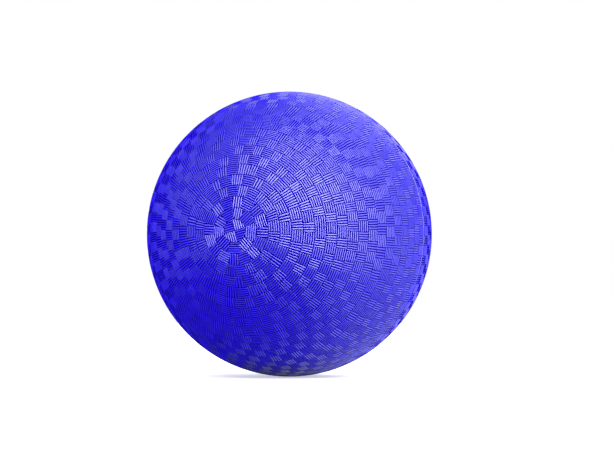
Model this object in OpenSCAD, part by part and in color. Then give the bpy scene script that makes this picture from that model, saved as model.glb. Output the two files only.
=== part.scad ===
// Inflatable rubber dodgeball: a moulded cover over an airtight bladder, with a needle valve.
// The origin is the ball's centre and +Z is up. The mould axis is Y: the courses of the moulded
// weave run round it, the two mould halves meet in the plane Y = 0 and the valve is at +Y.
// Of the weave, the solid has the grooves between the courses. The ribs in its patches are texture.

/* [Ball] */
// Diameter over the crests of the moulded weave
ball_d = 216; // [150:1:260]
// Height of the weave's ribs above the grooves between them
weave_depth = 0.6; // [0.3:0.05:0.8]
// Courses of weave from either pole to the parting line
courses = 20; // [12:1:26]
// Width of the floor of the grooves between the courses
groove_w = 0.7; // [0.4:0.1:1]
// Slope of the grooves' walls, off the ball's radius
groove_draft = 30; // [10:5:45]

/* [Wall] */
// Thickness of the coloured cover, ribs included
cover_t = 1.5; // [1.2:0.1:3]
// Thickness of the airtight bladder inside the cover
bladder_t = 0.8; // [0.5:0.1:2]
// Film of rubber cement in every bonded joint
cement_t = 0.05; // [0.02:0.01:0.1]

/* [Parting line] */
// Width of the plain band over the parting line
band_w = 2; // [1:0.5:10]
// Radius of the fine bead that the mould's edge leaves in the band
bead_r = 0.3; // [0.1:0.05:0.4]

/* [Valve housing] */
// Diameter of the housing's neck, which passes through the wall
neck_d = 10; // [9:0.5:14]
// Diameter of the flange bonded to the inside of the bladder
flange_d = 26; // [20:1:34]
// Thickness of the flange
flange_t = 1.2; // [0.8:0.1:2]
// Diameter of the barrel that hangs inside the ball
barrel_d = 11; // [10:0.5:15]
// Radius of the rounded inner end of the barrel
barrel_round = 2; // [0.5:0.5:3]
// Thickness of the barrel's wall beyond the core's inner end
barrel_end_t = 1.6; // [1:0.2:3]
// Diameter of the air hole through the barrel's inner end
air_hole_d = 3; // [2:0.5:4]

/* [Valve patch] */
// Diameter of the patch that ties the flange to the bladder
patch_d = 48; // [40:1:70]
// Thickness of the patch
patch_t = 0.8; // [0.5:0.1:2]

/* [Valve core] */
// Diameter of the core's head
head_d = 7; // [6.5:0.1:8]
// Thickness of the core's head
head_t = 1.8; // [1.2:0.1:3]
// Depth of the core's head below the end of the neck
head_sink = 0.4; // [0.2:0.1:1]
// Diameter of the core's shank
shank_d = 4.6; // [4:0.1:5.5]
// Length of the core, head included
core_l = 15; // [14:0.5:20]
// Radius of the beads that lock the core in the housing
lock_r = 0.8; // [0.4:0.1:1]
// Distance between the two locking beads
lock_pitch = 4; // [3:0.5:5]
// Gap between the core and the housing
core_gap = 0.04; // [0.02:0.01:0.1]
// Diameter of the guide bore that takes an inflating needle
needle_bore_d = 2.1; // [1.8:0.1:2.6]
// Length of the guide bore, below its funnel
needle_bore_l = 6; // [4:0.5:8]
// Diameter of the funnel's mouth
funnel_d = 3.6; // [3:0.1:4.5]
// Depth of the funnel
funnel_l = 1.4; // [0.8:0.1:2]

/* [Hidden] */
$fn = 240;

// Overrun of every cut
over = 1;

// Radii of the ball's layers, from the crests inwards
crest_r = ball_d / 2;
ground_r = crest_r - weave_depth;
cover_in_r = crest_r - cover_t;
bladder_out_r = cover_in_r - cement_t;
bladder_in_r = bladder_out_r - bladder_t;
flange_out_r = bladder_in_r - cement_t;
flange_in_r = flange_out_r - flange_t;
pocket_r = flange_in_r - cement_t;
wall_hole_d = neck_d + 2 * cement_t;

// Angle of one course, and the land round the valve, which is as large as the first course
course_a = (90 - asin(band_w / 2 / crest_r)) / courses;
land_d = 2 * crest_r * sin(course_a);

// Heights along the mould axis
head_y = crest_r - head_sink;
core_y = head_y - core_l;
barrel_y = core_y - core_gap - barrel_end_t;
lock_y = head_y - head_t - lock_pitch;
bore_y = head_y - funnel_l;
patch_rim_y = sqrt(pow(flange_out_r, 2) - pow(patch_d / 2, 2));

// Turns what is built along Z on to the mould axis
module on_mould_axis() rotate([-90, 0, 0]) children();

// Round bar on the mould axis from one height to another
module axial(d, from_y, to_y) on_mould_axis() translate([0, 0, from_y]) cylinder(d = d, h = to_y - from_y);

// Hollow sphere between two radii
module shell(outer, inner) difference() {
    sphere(r = outer);
    sphere(r = inner);
}

// Round piece of a shell at the valve end, with straight sides
module disc(outer, inner, d) intersection() {
    shell(outer, inner);
    axial(d, 0, outer + over);
}

// The places without weave: the band over the parting line and the land round the valve
module plain_places() difference() {
    union() {
        on_mould_axis() cylinder(r = crest_r + over, h = band_w, center = true);
        axial(land_d, 0, crest_r + over);
    }
    sphere(r = ground_r);
}

// Section of a groove, from its floor outwards to the overrun of the cut
module groove_section() {
    floor_half = groove_w / 2;
    mouth_half = floor_half + over * tan(groove_draft);
    polygon([[0, -floor_half], [over, -mouth_half], [over, mouth_half], [0, floor_half]]);
}

// Grooves between the courses of weave: rings about the mould axis, as deep as the weave. At the
// valve the edge of the land takes the place of the first one.
module course_grooves() for (end = [-1, 1], i = [1 : courses - 1]) if (end < 0 || i > 1)
    on_mould_axis() rotate_extrude() rotate(end * (90 - i * course_a)) translate([ground_r, 0])
        groove_section();

// Half outline of the core, grown by a gap: shank, head and two locking beads
module core_outline(grow) {
    translate([0, core_y - grow]) square([shank_d / 2 + grow, core_l - head_t / 2]);
    translate([0, head_y - head_t - grow]) square([head_d / 2 + grow, head_t + 2 * grow]);
    for (i = [0, 1]) translate([shank_d / 2, lock_y - i * lock_pitch]) circle(r = lock_r + grow);
}

module core_form(grow) on_mould_axis() rotate_extrude() core_outline(grow);

// Funnel and guide bore, which lead a needle to the core's slit
module needle_way() {
    axial(needle_bore_d, bore_y - needle_bore_l, head_y);
    on_mould_axis() translate([0, 0, bore_y]) cylinder(d1 = needle_bore_d, d2 = funnel_d, h = funnel_l);
    axial(funnel_d, head_y, head_y + over);
}

// Barrel with a rounded inner end, up to the middle of the flange
module barrel() intersection() {
    on_mould_axis() rotate_extrude() {
        translate([0, barrel_y + barrel_round]) square([barrel_d / 2, crest_r - barrel_y]);
        translate([0, barrel_y]) square([barrel_d / 2 - barrel_round, 2 * barrel_round]);
        translate([barrel_d / 2 - barrel_round, barrel_y + barrel_round]) circle(r = barrel_round);
    }
    sphere(r = flange_out_r - flange_t / 2);
}

module cover() color("#5B4FE6") {
    difference() {
        shell(crest_r, cover_in_r);
        plain_places();
        course_grooves();
        axial(wall_hole_d, 0, crest_r + over);
    }
    on_mould_axis() rotate_extrude() translate([ground_r, 0]) circle(r = bead_r);
}

module bladder() color("#2B2A2E") difference() {
    shell(bladder_out_r, bladder_in_r);
    axial(wall_hole_d, 0, crest_r);
}

// The patch is cut flat at its rim, which thins its edge, and is raised over the flange
module valve_patch() color("#3A383D") difference() {
    union() {
        intersection() {
            shell(flange_out_r, flange_out_r - patch_t);
            axial(patch_d + over, patch_rim_y, crest_r);
        }
        disc(flange_out_r, pocket_r - patch_t, flange_d + 2 * (cement_t + patch_t));
    }
    disc(crest_r, pocket_r, flange_d + 2 * cement_t);
    axial(barrel_d + 2 * cement_t, 0, crest_r);
}

module valve_housing() color("#1F1E22") difference() {
    union() {
        intersection() {
            axial(neck_d, flange_out_r - flange_t / 2, crest_r + over);
            sphere(r = crest_r);
        }
        disc(flange_out_r, flange_in_r, flange_d);
        barrel();
    }
    core_form(core_gap);
    axial(head_d + 2 * core_gap, head_y, crest_r + over);
    axial(air_hole_d, barrel_y - over, core_y);
}

module valve_core() color("#55525A") difference() {
    core_form(0);
    needle_way();
}

cover();
bladder();
valve_patch();
valve_housing();
valve_core();
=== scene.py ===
"""Looks of an inflatable rubber dodgeball: the moulded weave of its cover, its rubbers and the studio.

The frame has its origin at the ball's centre, +Z up and the mould axis along Y. The weave's pole
faces -Y, the valve sits at +Y and the two mould halves meet in the plane Y = 0. Sizes of the ball
are in millimetres up to the point where a mesh is made, and angles on it are in radians. Sizes in
the studio are in metres, and directions in degrees.
"""

import math

import bpy
import numpy as np
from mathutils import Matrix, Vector


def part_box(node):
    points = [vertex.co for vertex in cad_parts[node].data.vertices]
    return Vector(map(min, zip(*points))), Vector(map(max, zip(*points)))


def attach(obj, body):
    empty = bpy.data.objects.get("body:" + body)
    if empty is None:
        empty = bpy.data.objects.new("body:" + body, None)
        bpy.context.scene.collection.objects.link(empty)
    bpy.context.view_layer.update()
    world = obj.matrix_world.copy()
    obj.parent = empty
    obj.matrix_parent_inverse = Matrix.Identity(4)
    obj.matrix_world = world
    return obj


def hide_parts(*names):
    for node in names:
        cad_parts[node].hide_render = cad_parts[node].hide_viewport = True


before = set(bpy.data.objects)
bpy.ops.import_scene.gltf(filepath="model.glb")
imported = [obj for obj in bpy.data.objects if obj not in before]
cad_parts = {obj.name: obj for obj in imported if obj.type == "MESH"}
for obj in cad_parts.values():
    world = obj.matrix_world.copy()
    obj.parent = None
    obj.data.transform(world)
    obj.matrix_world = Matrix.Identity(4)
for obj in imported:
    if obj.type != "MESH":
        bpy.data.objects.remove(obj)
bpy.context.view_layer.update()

MM = 0.001
FULL_TURN = 2 * math.pi

# Sizes of the ball

# Radius over the crests of the weave
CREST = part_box("cover")[1].z / MM
# Height of the weave's ribs above the grooves between them
WEAVE_DEPTH = 0.6
# Radius at the floor of the grooves, which is also that of the plain places
GROUND = CREST - WEAVE_DEPTH
# Thickness of the cover, ribs included, and the radius of its inner face
COVER_T = 1.5
COVER_IN = CREST - COVER_T
# Diameter of the hole for the valve's neck, and the angle from the pole to its edge
NECK_HOLE_D = 10.1
HOLE = math.asin(NECK_HOLE_D / 2 / GROUND)
# How deep the plain land round the valve is rounded down at the hole, and over what share of its
# width
LAND_DROP = 0.25
LAND_ROUNDED = 0.16
# Width of the plain band over the parting line, and radius of the bead in it
BAND_W = 2.0
BEAD_R = 0.3

# Sizes of the weave

# Courses from either pole to the parting line, and the angle and width of one
COURSES = 20
COURSE = (math.pi / 2 - math.asin(BAND_W / 2 / CREST)) / COURSES
COURSE_W = COURSE * CREST
# Half the gap between the patches of one course and the next
HALF_GAP = 0.05
# Ribs in a patch whose ribs run along the course
RIBS_ALONG = 5
# Distance between the ribs that run across the course, and the fewest that a patch has
RIB_PITCH_ACROSS = 1.86
FEWEST_RIBS = 3
# Length over which a rib's end rises, and how high it starts at the edge of a course, as a share
RIB_END = 0.3
END_LEVEL = 0.45
# Heights of the lowest and the highest patch, as shares of the weave's depth, and the seed of the
# draw between them
LOWEST_PATCH = 0.88
HIGHEST_PATCH = 1.0
SEED = 7
# How far the four patches that meet at the pole are turned
POLE_TURN = math.radians(15)

# Each course of patches from the second one outwards: how often its cells repeat round the ball,
# the cells with their relative widths (C: ribs along the course, R: ribs across it), and the
# angle in degrees of the first cell's middle.
PAIR = "C54 R46"
COURSE_CELLS = (
    (1, "C50 R45 R31 C38 R33 C34 R47 C43 R39", -5.0),
    (8, PAIR, 19.0),
    (12, PAIR, 6.0),
    (7, "C138 R99 C138 R139", 2.4),
    (7, "C54 R46 C54 R46 R46", 46.0),
    (21, PAIR, 11.0),
    (7, "C54 R46 C54 R46 C54 R46 C54", 6.2),
    (28, PAIR, 1.75),
    (28, PAIR, 12.0),
    (34, PAIR, 7.5),
    (35, PAIR, 2.25),
    (35, PAIR, 8.25),
    (34, PAIR, 6.25),
    (39, PAIR, 9.0),
    (43, PAIR, 4.75),
    (44, PAIR, 0.5),
    (45, PAIR, 3.5),
    (46, PAIR, 5.2),
    (46, PAIR, 0.8),
)

# How finely the skin is meshed

# Courses at which each half is parted into pieces, so that none has too many faces
PIECE_COURSES = (0, 3, 9, 13, 17, 20)
# Places of the points across a rib, and near an end of a patch whose ribs run along the course
RIB_SHARES = np.array([0.0, 0.2, 0.5, 0.8])
END_SHARES = np.array([0.0, 0.025, 0.06, 0.12])
# Degrees round the ball for each further point in the middle of such a patch
POINT_SPAN = 8
# How many courses at a pole have a fine grid in place of points laid along the ribs, and its step
CUT_COURSES = 3
CUT_STEP = 0.17
# Points in a circle where pieces meet or where there is no weave
SEAM_POINTS = 360
# Places of the circles on the land, from the hole to its edge, and of those on the bead, in radii
# of the bead from the parting line
LAND_SHARES = np.array([0.0, 0.03, 0.08, LAND_ROUNDED, 0.4, 0.7, 1.0])
BEAD_SHARES = np.array([1.0, 0.85, 0.6, 0.35, 0.0])
# Circles of the smooth inner face for each course
INNER_CIRCLES = 2
# Angle between two faces from which the edge between them is sharp
CREASE = math.radians(65)


def rib(share):
    """Height of a rib across its width, 0 to 1: the mean of a parabola and a cosine wave, so that
    its back is round and the groove beside it has a narrow floor."""
    parabola = 1 - (2 * share - 1) ** 2
    wave = 0.5 - 0.5 * np.cos(FULL_TURN * share)
    return (parabola + wave) / 2


def rise(distance):
    """Height near an edge of a patch, 0 to 1: a parabola rises over RIB_END, then it is level."""
    share = np.clip(distance / RIB_END, 0, 1)
    return share * (2 - share)


def end_rise(distance):
    """Height near an edge of the course, where ribs end: as rise, but from END_LEVEL to 1."""
    return END_LEVEL + (1 - END_LEVEL) * rise(distance)


def rib_places(ribs):
    """Places of the points across a number of ribs side by side, as shares of their whole width."""
    return ((np.arange(ribs)[:, None] + RIB_SHARES) / ribs).reshape(-1)


def on_ball(theta, phi, radius, side):
    """Points at an angle theta from the pole and phi round it, +X towards +Z: radius times the sine
    of theta away from the mould axis, and radius times its cosine along it. The pole is at -Y for
    side 1 and at +Y for side -1."""
    out = radius * np.sin(theta)
    return np.stack([out * np.cos(phi), -side * radius * np.cos(theta), out * np.sin(phi)], axis=-1)


class Skin:
    """Gathers circles of points round the mould axis, and the faces between them, into one closed
    surface on one side of the ball."""

    def __init__(self, side):
        self.side = side
        self.points = []
        self.plain = []
        self.faces = []
        self.count = 0

    def put(self, points, plain=False):
        """Adds an array of points, which may be marked as plain, without weave, and returns their
        numbers in the same arrangement."""
        ids = self.count + np.arange(points[..., 0].size).reshape(points.shape[:-1])
        self.points.append(points.reshape(-1, 3))
        self.plain.append(np.full(ids.size, plain, np.float32))
        self.count += ids.size
        return ids

    def add(self, *corners):
        """Adds faces, one for each place in the arrays of corners. They are turned over on the
        other side of the ball, which mirrors them."""
        faces = np.stack(corners, axis=-1).reshape(-1, len(corners))
        self.faces.append(faces if self.side > 0 else faces[:, ::-1])

    def circles(self, thetas, phi, radii, inwards=False, plain=False):
        """Adds circles with shared angles phi and the faces between them. radii is one value, one
        for each circle or one for each point. Returns the numbers of the points by circle."""
        theta, angle = np.meshgrid(thetas, phi, indexing="ij")
        ids = self.put(on_ball(theta, angle, np.broadcast_to(radii, theta.shape), self.side), plain)
        near, far = (ids[1:], ids[:-1]) if inwards else (ids[:-1], ids[1:])
        self.wall(near, far)
        return ids

    def cut_circles(self, thetas, phi, radii):
        """As circles, but with triangles: each quad is parted along the diagonal whose ends differ
        less in radius, so that a rib which crosses the circles at a slant keeps a clean back."""
        theta, angle = np.meshgrid(thetas, phi, indexing="ij")
        ids = self.put(on_ball(theta, angle, radii, self.side))
        ahead = np.roll(ids, -1, axis=-1)
        radii_ahead = np.roll(radii, -1, axis=-1)
        outwards = np.abs(radii[:-1] - radii_ahead[1:]) < np.abs(radii[1:] - radii_ahead[:-1])
        self.add(ids[:-1], ids[1:], np.where(outwards, ahead[1:], ahead[:-1]))
        self.add(np.where(outwards, ids[:-1], ids[1:]), ahead[1:], ahead[:-1])
        return ids

    def wall(self, near, far):
        """Joins circles of the same angles by quads."""
        self.add(near, far, np.roll(far, -1, axis=-1), np.roll(near, -1, axis=-1))

    def zip_circles(self, near, near_phi, far, far_phi):
        """Joins two circles with different angles: the angles of both are sorted into one list,
        and each point makes a triangle with the one before it in its own circle and the last one
        of the other."""
        near = near[np.argsort(near_phi % FULL_TURN)]
        far = far[np.argsort(far_phi % FULL_TURN)]
        angles = np.concatenate([np.sort(near_phi % FULL_TURN), np.sort(far_phi % FULL_TURN)])
        is_near = np.argsort(angles, kind="stable") < len(near)
        last_near = np.cumsum(is_near) - 1
        last_far = np.cumsum(~is_near) - 1
        before = np.where(is_near, near[(last_near - 1) % len(near)], far[(last_far - 1) % len(far)])
        self.add(before, far[last_far % len(far)], near[last_near % len(near)])

    def tip(self, circle, radius, inwards=False):
        """Closes a circle with a fan of triangles about the pole."""
        point = self.put(on_ball(np.zeros(1), np.zeros(1), radius, self.side))
        ahead = np.roll(circle, -1)
        pair = (ahead, circle) if inwards else (circle, ahead)
        self.add(np.broadcast_to(point, circle.shape), *pair)

    def mesh(self, name):
        """The mesh, in metres, with smooth faces and a crease where it turns by more than CREASE.
        Its attribute named plain is 1 at the plain points."""
        points = np.concatenate(self.points) * MM
        corners = np.concatenate([faces.reshape(-1) for faces in self.faces])
        counts = np.concatenate([np.full(len(faces), faces.shape[1]) for faces in self.faces])
        mesh = bpy.data.meshes.new(name)
        mesh.vertices.add(len(points))
        mesh.vertices.foreach_set("co", points.astype(np.float32).reshape(-1))
        mesh.loops.add(len(corners))
        mesh.loops.foreach_set("vertex_index", corners.astype(np.int32))
        mesh.polygons.add(len(counts))
        mesh.polygons.foreach_set("loop_start", (np.cumsum(counts) - counts).astype(np.int32))
        mesh.polygons.foreach_set("use_smooth", np.ones(len(counts), bool))
        plain = mesh.attributes.new("plain", "FLOAT", "POINT")
        plain.data.foreach_set("value", np.concatenate(self.plain))
        mesh.update(calc_edges=True)
        mesh.set_sharp_from_angle(angle=CREASE)
        return mesh


def lay_out(cells):
    """The kinds, starts and widths of a course's patches round the ball, in radians."""
    repeats, text, middle = cells
    kinds = np.array([word[0] for word in text.split()] * repeats)
    widths = np.array([float(word[1:]) for word in text.split()] * repeats)
    widths *= FULL_TURN / widths.sum()
    starts = math.radians(middle) - widths[0] / 2 + np.cumsum(widths) - widths
    return kinds, starts, widths


def patch_columns(kind, start, width, radius):
    """Columns of one patch at their angles, and their heights across it: an R patch has as many
    ribs as it holds, and a C patch has its rib ends with a few columns between."""
    length = width * radius
    if kind == "R":
        ribs = max(FEWEST_RIBS, round(length / RIB_PITCH_ACROSS))
        shares = rib_places(ribs)
        return start + shares * width, rib(shares * ribs % 1)
    steps = 1 + math.ceil(math.degrees(width) / POINT_SPAN)
    middle = np.linspace(END_SHARES[-1], 1 - END_SHARES[-1], steps + 1)
    shares = np.concatenate([END_SHARES, middle[1:-1], 1 - END_SHARES[:0:-1]])
    return start + shares * width, rise(np.minimum(shares, 1 - shares) * length)


def woven_course(skin, number, cells, rng):
    """A course of patches. The height is the weave's depth times a share drawn for each patch, a
    rib profile one way and rib ends the other way: the profile goes across the course in a C patch
    and along it in an R patch."""
    kinds, starts, widths = lay_out(cells)
    radius = CREST * math.sin((number + 0.5) * COURSE)
    columns = [patch_columns(*patch, radius) for patch in zip(kinds, starts, widths)]
    counts = [len(angles) for angles, _ in columns]
    phi, across = [np.concatenate(part) for part in zip(*columns)]
    is_r = np.repeat(kinds == "R", counts)
    patch_height = np.repeat(rng.uniform(LOWEST_PATCH, HIGHEST_PATCH, len(kinds)), counts)
    shares = np.append(rib_places(RIBS_ALONG), 1.0)
    along = rib(shares * RIBS_ALONG % 1)[:, None]
    ends = end_rise(np.minimum(shares, 1 - shares) * COURSE_W)[:, None]
    height = patch_height * across * np.where(is_r, ends, along)
    first = number * COURSE + HALF_GAP / CREST
    last = (number + 1) * COURSE - HALF_GAP / CREST
    return skin.circles(first + shares * (last - first), phi, GROUND + WEAVE_DEPTH * height), phi


def cut_course(skin, number, cells, rng):
    """A course near the pole, where the patches are wedges with straight, parallel ribs. out is
    the distance from the pole along a patch's middle line and aside the distance from that line:
    ribs follow each other outwards in a C patch and sideways in an R patch. The height is the
    weave's depth times a share drawn for each patch, the rib profile and the rises from the
    patch's edges."""
    kinds, starts, widths = lay_out(cells)
    inner = number * COURSE_W + HALF_GAP
    outer = (number + 1) * COURSE_W - HALF_GAP
    reach = np.linspace(inner, outer, round((outer - inner) / CUT_STEP) + 1)
    phi = np.linspace(0, FULL_TURN, round(FULL_TURN * outer / CUT_STEP), endpoint=False)
    turn = (phi - starts[0]) % FULL_TURN
    which = np.searchsorted(np.cumsum(widths), turn, side="right") % len(widths)
    half = widths[which] / 2
    off = turn - (starts[which] - starts[0]) - half
    patch_height = rng.uniform(LOWEST_PATCH, HIGHEST_PATCH, len(kinds))[which]
    distance, off = np.meshgrid(reach, off, indexing="ij")
    out = distance * np.cos(off)
    aside = distance * np.sin(off)
    foot = inner * np.cos(half / 2)
    ribs_out = (out - foot) / (outer * np.cos(half / 2) - foot) * RIBS_ALONG
    middle_w = (inner + outer) * np.tan(half)
    ribs = np.maximum(FEWEST_RIBS, np.round(middle_w / RIB_PITCH_ACROSS))
    ribs_aside = aside / middle_w * ribs + ribs / 2
    to_side = distance * np.sin(half - np.abs(off))
    end = end_rise(np.minimum(distance - inner, outer - distance))
    profile = rib(np.where(kinds[which] == "R", ribs_aside, ribs_out) % 1)
    height = patch_height * rise(to_side) * end * profile
    return skin.cut_circles(reach / CREST, phi, GROUND + WEAVE_DEPTH * height), phi


def pole_course(skin):
    """The first course: a disc with four patches that meet at the pole, parted by two lines at
    right angles. The height is the weave's depth times the rib profile over the distance from one
    line and the rise from the other line and from the disc's edge. The lines take turns from patch
    to patch."""
    radius = COURSE_W - HALF_GAP
    reach = np.linspace(0, radius, round(radius / CUT_STEP) + 1)[1:]
    phi = np.linspace(0, FULL_TURN, SEAM_POINTS, endpoint=False)
    distance, angle = np.meshgrid(reach, phi, indexing="ij")
    from_one = np.abs(distance * np.cos(angle - POLE_TURN))
    from_other = np.abs(distance * np.sin(angle - POLE_TURN))
    first_and_third = np.sin(2 * (angle - POLE_TURN)) > 0
    across = np.where(first_and_third, from_one, from_other)
    along = np.where(first_and_third, from_other, from_one)
    to_edge = np.minimum(along, radius - distance)
    height = rib(across / radius * RIBS_ALONG % 1) * rise(to_edge)
    ids = skin.cut_circles(reach / CREST, phi, GROUND + WEAVE_DEPTH * height)
    skin.tip(ids[0], GROUND)
    return ids, phi


def land(skin, phi):
    """The plain land round the valve: level with the weave's grooves, and rounded down by a
    parabola at the hole for the valve's neck."""
    edge = COURSE - HALF_GAP / CREST
    drop = LAND_DROP * np.clip(1 - LAND_SHARES / LAND_ROUNDED, 0, 1) ** 2
    return skin.circles(HOLE + LAND_SHARES * (edge - HOLE), phi, (GROUND - drop)[:, None], plain=True)


def parting_band(skin, phi):
    """Half of the plain band at the parting line, with half of its bead: the bead is a circle's
    arc over the band, highest where the half moulds meet."""
    beside = BEAD_SHARES * BEAD_R
    theta = np.append(COURSES * COURSE, math.pi / 2 - beside / CREST)
    lift = np.append(0.0, np.sqrt(BEAD_R**2 - beside**2))
    return skin.circles(theta, phi, (GROUND + lift)[:, None], plain=True)


def cover_piece(name, side, start, stop, rng):
    """A closed zone of the cover from one course to another: the weave outside, the smooth face
    inside and a wall at each open end. The zone at the weave's pole has one open end."""
    skin = Skin(side)
    seam = np.linspace(0, FULL_TURN, SEAM_POINTS, endpoint=False)
    closed = start == 0 and side > 0
    first, last = start * COURSE, stop * COURSE
    if closed:
        near, near_phi = pole_course(skin)
    elif start == 0:
        near, near_phi = land(skin, seam), seam
        first = HOLE
    else:
        near, near_phi = skin.circles([first], seam, GROUND), seam
    rim = near[0]
    for number in range(max(start, 1), stop):
        course = cut_course if number < CUT_COURSES else woven_course
        ids, phi = course(skin, number, COURSE_CELLS[number - 1], rng)
        skin.zip_circles(near[-1], near_phi, ids[0], phi)
        near, near_phi = ids, phi
    if stop == COURSES:
        end = parting_band(skin, seam)
        last = math.pi / 2
    else:
        end = skin.circles([last], seam, GROUND)
    skin.zip_circles(near[-1], near_phi, end[0], seam)
    thetas = np.linspace(first, last, INNER_CIRCLES * (stop - start) + 1)
    inside = skin.circles(thetas[1:] if closed else thetas, seam, COVER_IN, inwards=True)
    skin.wall(end[-1], inside[-1])
    if closed:
        skin.tip(inside[0], COVER_IN, inwards=True)
    else:
        skin.wall(inside[0], rim)
    return skin.mesh(name)


# Materials

# Refractive index of vulcanised rubber
RUBBER_IOR = 1.52
# How far across the spots of the cover's patterns are: clouds in the pigment, grain left by the
# mould, which shows only from close by, and scuffs from the floor
PIGMENT_CLOUD = 40
MOULD_GRAIN = 0.3
FLOOR_SCUFF = 9
# Heights of that grain, and of the specks of bloom on the black rubbers
GRAIN_HEIGHT = 0.01
BLOOM_HEIGHT = 0.03
# Heights in the weave, as shares of its depth: painted shade makes the cover darkest below the first,
# it has its full colour above the second and it may be scuffed above the third
DARK_BELOW = 0.35
FULL_ABOVE = 0.8
SCUFFED_ABOVE = 0.7
# Values of the scuffs' pattern at which a scuff starts and at which it is full
SCUFF_STARTS = 0.45
SCUFF_FULL = 0.75
# Roughness of the cover as moulded and in a scuff, and its specular level on the ribs
MOULDED_ROUGH = 0.12
SCUFFED_ROUGH = 0.2
RIB_SPECULAR = 0.9
# A Mix node's two inputs and its output for colours, which share their names with those for numbers
COLOUR_A, COLOUR_B, COLOUR_OUT = 6, 7, 2


def linear(text):
    """An sRGB hex colour as linear red, green, blue and alpha."""
    parts = [int(text[i : i + 2], 16) / 255 for i in (1, 3, 5)]
    return [p / 12.92 if p <= 0.04045 else ((p + 0.055) / 1.055) ** 2.4 for p in parts] + [1.0]


WHITE = linear("#FFFFFF")


def node(tree, kind, inputs=(), **settings):
    """Adds a node with its settings. inputs gives, for an input's name or number, a value or the
    output socket of another node that feeds it."""
    made = tree.nodes.new(kind)
    for key, value in settings.items():
        setattr(made, key, value)
    for key, source in dict(inputs).items():
        if isinstance(source, bpy.types.NodeSocket):
            tree.links.new(source, made.inputs[key])
        else:
            made.inputs[key].default_value = source
    return made


def new_material(name):
    """An empty node material and its tree."""
    material = bpy.data.materials.new(name)
    material.use_nodes = True
    material.node_tree.nodes.clear()
    return material, material.node_tree


def at_height(share):
    """Radius in metres at a share of the weave's depth."""
    return (GROUND + share * WEAVE_DEPTH) * MM


def out_of_groove_shade(tree, radius):
    """A share that is 0 in the grooves, where the cover gets painted shade and no gloss, and 1 on the
    ribs and where there is no weave: the height in the weave, or the attribute plain where that is
    greater."""
    plain = node(tree, "ShaderNodeAttribute", attribute_name="plain").outputs["Fac"]
    height = node(
        tree,
        "ShaderNodeMapRange",
        {"Value": radius, "From Min": at_height(DARK_BELOW), "From Max": at_height(FULL_ABOVE)},
    ).outputs["Result"]
    return node(tree, "ShaderNodeMath", {0: height, 1: plain}, operation="MAXIMUM").outputs[0]


def scuffs_on_crests(tree, radius, scuffs):
    """A share that is 1 where a scuff is full and the weave is highest, and 0 where the cover is as
    moulded: the pattern of scuffs times the height above SCUFFED_ABOVE."""
    crest = node(
        tree,
        "ShaderNodeMapRange",
        {"Value": radius, "From Min": at_height(SCUFFED_ABOVE), "From Max": CREST * MM},
    ).outputs["Result"]
    scuffed = node(
        tree,
        "ShaderNodeMapRange",
        {"Value": scuffs, "From Min": SCUFF_STARTS, "From Max": SCUFF_FULL},
    ).outputs["Result"]
    return node(tree, "ShaderNodeMath", {0: crest, 1: scuffed}, operation="MULTIPLY").outputs[0]


def cover_colour(tree, clouds, unshaded_share, worn):
    """The pigment with its clouds, with painted shade that makes it darkest in the grooves, and paler
    where it is scuffed.
    """
    pigment = node(
        tree,
        "ShaderNodeMix",
        {"Factor": clouds, COLOUR_A: linear("#2C18FA"), COLOUR_B: linear("#331DFF")},
        data_type="RGBA",
    ).outputs[COLOUR_OUT]
    # Painted shade: in the grooves the pigment goes over to a deep navy
    groove_shaded = node(
        tree,
        "ShaderNodeMix",
        {"Factor": unshaded_share, COLOUR_A: linear("#040084"), COLOUR_B: pigment},
        data_type="RGBA",
    ).outputs[COLOUR_OUT]
    return node(
        tree,
        "ShaderNodeMix",
        {"Factor": worn, COLOUR_A: groove_shaded, COLOUR_B: linear("#4A3CF0")},
        data_type="RGBA",
    ).outputs[COLOUR_OUT]


def moulded_natural_rubber():
    """Vulcanised natural rubber, pigmented blue-violet and pressed in a steel mould: a deep,
    saturated colour under a satin gloss, which pales it. The crests, which rub on the floor, are a
    little paler and duller. The grooves, which the ribs shade, have painted shade that makes them
    darkest, and no gloss."""
    material, tree = new_material("moulded_natural_rubber")
    place = node(tree, "ShaderNodeTexCoord").outputs["Object"]
    radius = node(tree, "ShaderNodeVectorMath", {0: place}, operation="LENGTH").outputs["Value"]
    clouds, grain, scuffs = [
        node(
            tree,
            "ShaderNodeTexNoise",
            {"Vector": place, "Scale": 1 / (across * MM), "Detail": detail},
        ).outputs["Fac"]
        for across, detail in ((PIGMENT_CLOUD, 3.0), (MOULD_GRAIN, 2.0), (FLOOR_SCUFF, 5.0))
    ]
    unshaded_share = out_of_groove_shade(tree, radius)
    worn = scuffs_on_crests(tree, radius, scuffs)
    rough = node(
        tree,
        "ShaderNodeMapRange",
        {"Value": worn, "To Min": MOULDED_ROUGH, "To Max": SCUFFED_ROUGH},
    )
    gloss = node(
        tree,
        "ShaderNodeMapRange",
        {"Value": unshaded_share, "To Min": 0.0, "To Max": RIB_SPECULAR},
    )
    bump = node(
        tree,
        "ShaderNodeBump",
        {"Height": grain, "Strength": 0.1, "Distance": GRAIN_HEIGHT * MM},
    )
    shader = node(
        tree,
        "ShaderNodeBsdfPrincipled",
        {
            "Base Color": cover_colour(tree, clouds, unshaded_share, worn),
            "Roughness": rough.outputs["Result"],
            "Normal": bump.outputs["Normal"],
            "Specular IOR Level": gloss.outputs["Result"],
            "IOR": RUBBER_IOR,
        },
    )
    node(tree, "ShaderNodeOutputMaterial", {"Surface": shader.outputs["BSDF"]})
    return material


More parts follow.
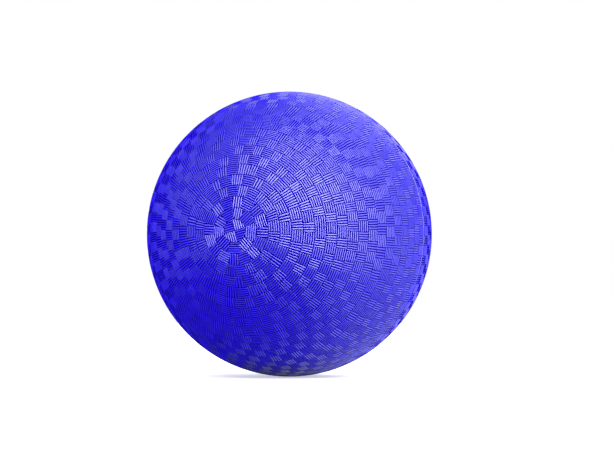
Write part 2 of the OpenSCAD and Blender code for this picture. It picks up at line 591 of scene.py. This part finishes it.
def plain_rubber(name, dark, light, roughness, speck):
    """Rubber of one colour with fine specks of bloom, speck millimetres across: dark is its colour
    and light the colour of the bloom."""
    material, tree = new_material(name)
    place = node(tree, "ShaderNodeTexCoord").outputs["Object"]
    bloom = node(
        tree,
        "ShaderNodeTexNoise",
        {"Vector": place, "Scale": 1 / (speck * MM), "Detail": 4.0},
    ).outputs["Fac"]
    colour = node(
        tree,
        "ShaderNodeMix",
        {"Factor": bloom, COLOUR_A: linear(dark), COLOUR_B: linear(light)},
        data_type="RGBA",
    )
    bump = node(
        tree,
        "ShaderNodeBump",
        {"Height": bloom, "Strength": 0.4, "Distance": BLOOM_HEIGHT * MM},
    )
    shader = node(
        tree,
        "ShaderNodeBsdfPrincipled",
        {
            "Base Color": colour.outputs[COLOUR_OUT],
            "Normal": bump.outputs["Normal"],
            "Roughness": roughness,
            "IOR": RUBBER_IOR,
        },
    )
    node(tree, "ShaderNodeOutputMaterial", {"Surface": shader.outputs["BSDF"]})
    return material


# The ball

COVER_RUBBER = moulded_natural_rubber()
rng = np.random.default_rng(SEED)
for side, half in ((1, "weave_half"), (-1, "valve_half")):
    for part, (start, stop) in enumerate(zip(PIECE_COURSES, PIECE_COURSES[1:])):
        name = f"cover_{half}_{part + 1}"
        piece = bpy.data.objects.new(name, cover_piece(name, side, start, stop, rng))
        bpy.context.collection.objects.link(piece)
        piece.data.materials.append(COVER_RUBBER)
        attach(piece, "root")
        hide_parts("cover")

# Butyl rubber, rolled and cured: nearly black, matt, with a grey bloom
BUTYL = plain_rubber("rolled_butyl_rubber", "#232226", "#34333A", roughness=0.7, speck=2.5)
# Black natural rubber, moulded in a polished tool: satin
VALVE_RUBBER = plain_rubber("moulded_black_rubber", "#17161A", "#222126", roughness=0.42, speck=0.9)
# Soft butyl, moulded and left slightly oily: dark grey with a low gloss
CORE_RUBBER = plain_rubber("soft_butyl_core", "#3E3B42", "#57545C", roughness=0.36, speck=0.8)

for name, material in (
    ("bladder", BUTYL),
    ("valve_patch", BUTYL),
    ("valve_housing", VALVE_RUBBER),
    ("valve_core", CORE_RUBBER),
):
    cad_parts[name].data.materials.clear()
    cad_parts[name].data.materials.append(material)

# The camera and the soft boxes

# Size of the photo, and the ball's radius and centre in it, in pixels
IMAGE_W = 612
IMAGE_H = 459
BALL_PX = 142.6
CENTRE_PX = (289.3, 234.1)
# The camera's direction from the ball, and its distance in radii of the ball
AZIMUTH = 21.5
ELEVATION = -1.4
BALL_RADII_AWAY = 18
# Width of the camera's sensor, in millimetres
SENSOR = 36.0
# Distance of the soft boxes from the ball, and their width
LAMP_AWAY = 1.5
LAMP_W = 0.6


def direction(azimuth, elevation):
    """Unit vector from the ball to an azimuth, in degrees from -Y towards +X, and an elevation."""
    turn = math.radians(azimuth)
    up = math.radians(elevation)
    return Vector((math.sin(turn) * math.cos(up), -math.cos(turn) * math.cos(up), math.sin(up)))


def facing_ball(name, data, azimuth, elevation, distance):
    """Puts a camera or lamp at a direction and distance from the ball, facing it."""
    thing = bpy.data.objects.new(name, data)
    bpy.context.collection.objects.link(thing)
    thing.location = direction(azimuth, elevation) * distance
    thing.rotation_euler = (-thing.location).to_track_quat("-Z", "Y").to_euler()
    return thing


def photo_camera():
    """The camera, framed as the photo is. The outline of a ball lies where sight lines touch it, so
    at a distance of d radii the focal length is the outline's radius in the picture times the root
    of d squared less 1."""
    data = bpy.data.cameras.new("camera")
    data.sensor_width = SENSOR
    data.lens = BALL_PX * math.sqrt(BALL_RADII_AWAY**2 - 1) / IMAGE_W * SENSOR
    data.shift_x = (IMAGE_W / 2 - CENTRE_PX[0]) / IMAGE_W
    data.shift_y = (CENTRE_PX[1] - IMAGE_H / 2) / IMAGE_W
    return facing_ball("camera", data, AZIMUTH, ELEVATION, BALL_RADII_AWAY * CREST * MM)


def soft_box(name, azimuth, elevation, power):
    """A square soft box of a power in watts, which looks at the ball and doesn't show in its gloss."""
    lamp = bpy.data.lights.new(name, "AREA")
    lamp.size = LAMP_W
    lamp.energy = power
    facing_ball(name, lamp, azimuth, elevation, LAMP_AWAY).visible_glossy = False


bpy.context.scene.camera = photo_camera()
soft_box("key", AZIMUTH + 70, elevation=35, power=16)
soft_box("fill", AZIMUTH - 50, elevation=45, power=9)

# The walls

# Radiance of the white walls as they light matt surfaces, and as the camera sees them
LIGHTING_WHITE = 0.92
SEEN_WHITE = 1.0
# What shows in the gloss: soft patches of light. Each has the azimuth of its middle, counted from
# the camera to the right, and its elevation, then the cosines of the angles off its middle at which
# it begins and at which it is full, and its radiance. The wall behind the camera is whitest at the
# upper right and fades to the left and downwards. A narrow patch on the left and weak ones behind
# the ball brighten its outline.
GLOWS = (
    (14, 16, 0.72, 0.97, 4.7),
    (47, 5, 0.78, 0.96, 2.8),
    (5, 47, 0.7, 0.95, 4.0),
    (75, 42, 0.3, 0.95, 1.5),
    (45, -28, 0.78, 0.96, 1.2),
    (150, 45, 0.84, 0.96, 1.8),
    (-55, 50, 0.5, 0.96, 1.3),
    (-70, 5, 0.92, 0.98, 2.0),
    (112, -38, 0.62, 0.95, 1.4),
    (150, -60, 0.7, 0.95, 0.25),
)


def glow(tree, looking, towards, begins, full, radiance):
    """Radiance of one soft patch of light in the direction that is looked in: nothing where the
    cosine of the angle to its middle is begins, and all of it where the cosine is full."""
    cosine = node(tree, "ShaderNodeVectorMath", {0: looking, 1: towards}, operation="DOT_PRODUCT")
    return node(
        tree,
        "ShaderNodeMapRange",
        {"Value": cosine.outputs["Value"], "From Min": begins, "From Max": full, "To Max": radiance},
        interpolation_type="SMOOTHSTEP",
    ).outputs["Result"]


def studio_walls():
    """White walls all round, as a world: plain for matt surfaces and for the camera, and with the
    soft patches of light for what is glossy."""
    world = bpy.data.worlds.new("studio")
    world.use_nodes = True
    tree = world.node_tree
    tree.nodes.clear()
    looking = node(tree, "ShaderNodeTexCoord").outputs["Generated"]
    glows = [
        glow(tree, looking, direction(AZIMUTH + right, up), begins, full, radiance)
        for right, up, begins, full, radiance in GLOWS
    ]
    mirrored = glows[0]
    for more in glows[1:]:
        mirrored = node(tree, "ShaderNodeMath", {0: mirrored, 1: more}, operation="ADD").outputs[0]
    lighting = node(tree, "ShaderNodeBackground", {"Color": WHITE, "Strength": LIGHTING_WHITE})
    gloss = node(tree, "ShaderNodeBackground", {"Color": WHITE, "Strength": mirrored})
    seen = node(tree, "ShaderNodeBackground", {"Color": WHITE, "Strength": SEEN_WHITE})
    ray = node(tree, "ShaderNodeLightPath").outputs
    lit = node(
        tree,
        "ShaderNodeMixShader",
        {0: ray["Is Glossy Ray"], 1: lighting.outputs[0], 2: gloss.outputs[0]},
    )
    straight = node(
        tree,
        "ShaderNodeMath",
        {0: ray["Is Camera Ray"], 1: ray["Is Transmission Ray"]},
        operation="MAXIMUM",
    )
    walls = node(
        tree,
        "ShaderNodeMixShader",
        {0: straight.outputs[0], 1: lit.outputs[0], 2: seen.outputs[0]},
    )
    node(tree, "ShaderNodeOutputWorld", {"Surface": walls.outputs[0]})
    return world


bpy.context.scene.world = studio_walls()

# The floor

# Radius of the paper, and its corners
FLOOR_R = 4.0
FLOOR_CORNERS = 64
# Distances from the ball's centre between which the light that the paper adds for the camera grows,
# and its radiance at either
ADDED_FROM, ADDED_TO = 0.25, 0.9
LEAST_ADDED, MOST_ADDED = 0.5, 1.0


def white_paper():
    """Matt paper, a little greyer to the ball than to the camera. For the camera some light is added,
    more of it further out, where the lamps' light fades. That makes the paper white all round the
    ball's shadow."""
    material, tree = new_material("white_paper")
    to_camera = node(tree, "ShaderNodeLightPath").outputs["Is Camera Ray"]
    place = node(tree, "ShaderNodeTexCoord").outputs["Object"]
    reach = node(tree, "ShaderNodeVectorMath", {0: place}, operation="LENGTH").outputs["Value"]
    added = node(
        tree,
        "ShaderNodeMapRange",
        {
            "Value": reach,
            "From Min": ADDED_FROM,
            "From Max": ADDED_TO,
            "To Min": LEAST_ADDED,
            "To Max": MOST_ADDED,
        },
    ).outputs["Result"]
    shown = node(tree, "ShaderNodeMath", {0: added, 1: to_camera}, operation="MULTIPLY").outputs[0]
    colour = node(
        tree,
        "ShaderNodeMix",
        {"Factor": to_camera, COLOUR_A: linear("#E0E0E0"), COLOUR_B: linear("#F2F2F2")},
        data_type="RGBA",
    ).outputs[COLOUR_OUT]
    paper = node(tree, "ShaderNodeBsdfDiffuse", {"Color": colour})
    light = node(tree, "ShaderNodeEmission", {"Color": WHITE, "Strength": shown})
    both = node(tree, "ShaderNodeAddShader", {0: paper.outputs[0], 1: light.outputs[0]})
    node(tree, "ShaderNodeOutputMaterial", {"Surface": both.outputs[0]})
    return material


def paper_floor():
    """A round sheet of paper at the height of the ball's lowest point. It doesn't show in the gloss,
    where the walls go on under the ball."""
    turns = np.linspace(0, FULL_TURN, FLOOR_CORNERS, endpoint=False)
    level = np.full(FLOOR_CORNERS, -CREST * MM)
    rim = np.stack([FLOOR_R * np.cos(turns), FLOOR_R * np.sin(turns), level], axis=-1)
    mesh = bpy.data.meshes.new("floor")
    mesh.from_pydata(rim.tolist(), [], [range(FLOOR_CORNERS)])
    mesh.materials.append(white_paper())
    sheet = bpy.data.objects.new("floor", mesh)
    bpy.context.collection.objects.link(sheet)
    sheet.visible_glossy = False
    return sheet


floor = paper_floor()

bpy.context.scene.view_settings.view_transform = "Standard"
